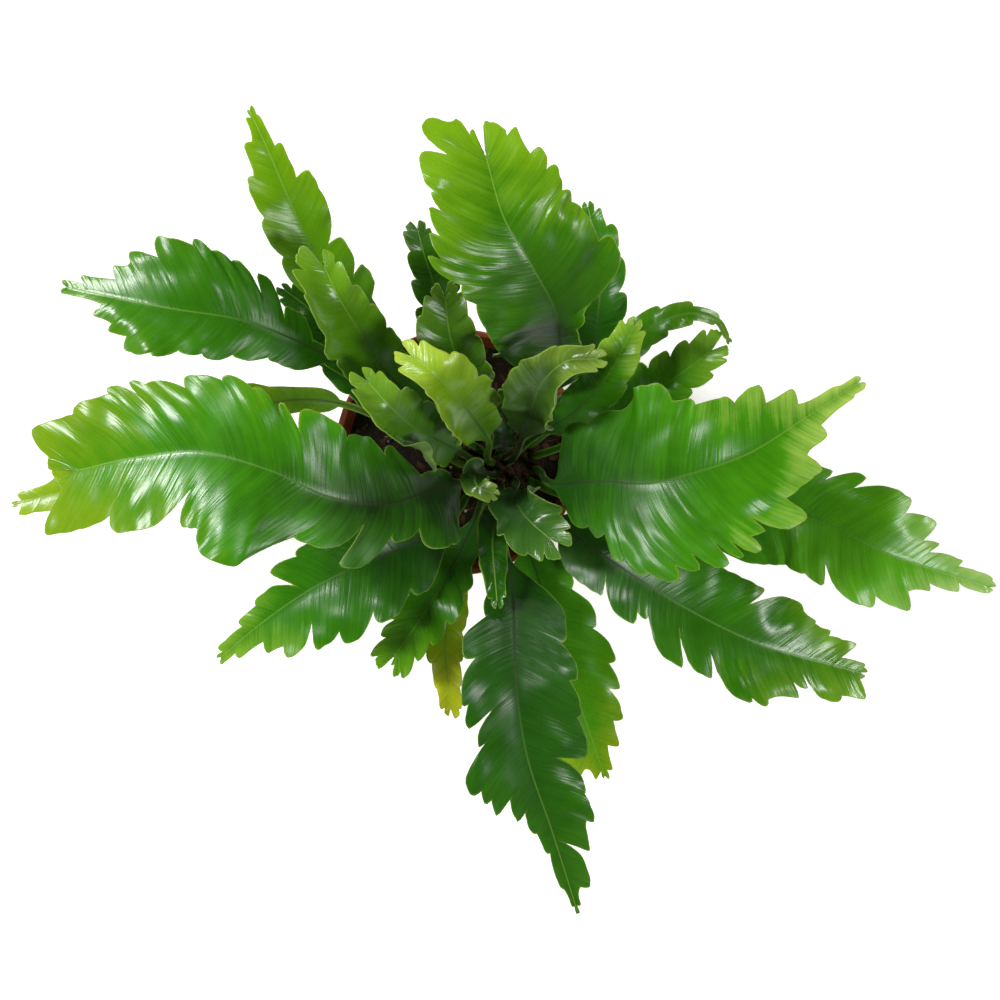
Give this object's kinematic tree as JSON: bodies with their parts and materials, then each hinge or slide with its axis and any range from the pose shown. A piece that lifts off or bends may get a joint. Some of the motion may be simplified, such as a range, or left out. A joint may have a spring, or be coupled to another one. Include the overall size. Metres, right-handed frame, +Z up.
{
  "type": "potted fern",
  "caption": "Strap-leaved fern with glossy, wavy, deeply lobed fronds arching from one crown in a round tapered nursery pot.",
  "frame": {"origin": "centre of the pot's base, on the surface that it stands on", "axes": "+Z up along the pot's axis; +X towards the fronds' right-hand reach, the longest side; +Y towards the back"},
  "size_m": [0.4594, 0.369, 0.238],
  "materials": {
    "pot": "red-brown thermoformed nursery pot plastic, satin",
    "soil": "moist dark peat potting mix with bark and perlite",
    "crown": "rootstock covered in dark brown papery scales",
    "frond": "waxy, glossy, leathery green frond with fine parallel veins",
    "frond_young": "yellowing green frond, glossy"
  },
  "bodies": {
    "root": {"pot": "pot", "potting_soil": "soil", "crown": "crown", "frond_left_broad": "frond", "frond_right_broad": "frond", "frond_back_broad": "frond", "frond_front_long": "frond", "frond_front_right_long": "frond", "frond_right_long": "frond", "frond_back_left_long": "frond", "frond_back_left_narrow": "frond", "frond_left_under": "frond", "frond_front_left_wide": "frond", "frond_front_left_yellow": "frond_young", "frond_front_right_under": "frond", "frond_back_left_dark": "frond", "frond_back_narrow": "frond", "frond_back_under": "frond", "frond_back_right_curled": "frond", "frond_back_right_short": "frond", "frond_left_upright": "frond", "frond_left_folded": "frond", "frond_centre_left": "frond", "frond_centre_right": "frond", "frond_right_upright": "frond", "frond_back_upright": "frond", "frond_front_left_short": "frond", "frond_front_short": "frond", "frond_front_right_short": "frond", "frond_centre_dark": "frond", "frond_centre_small": "frond"}
  },
  "joints": []
}
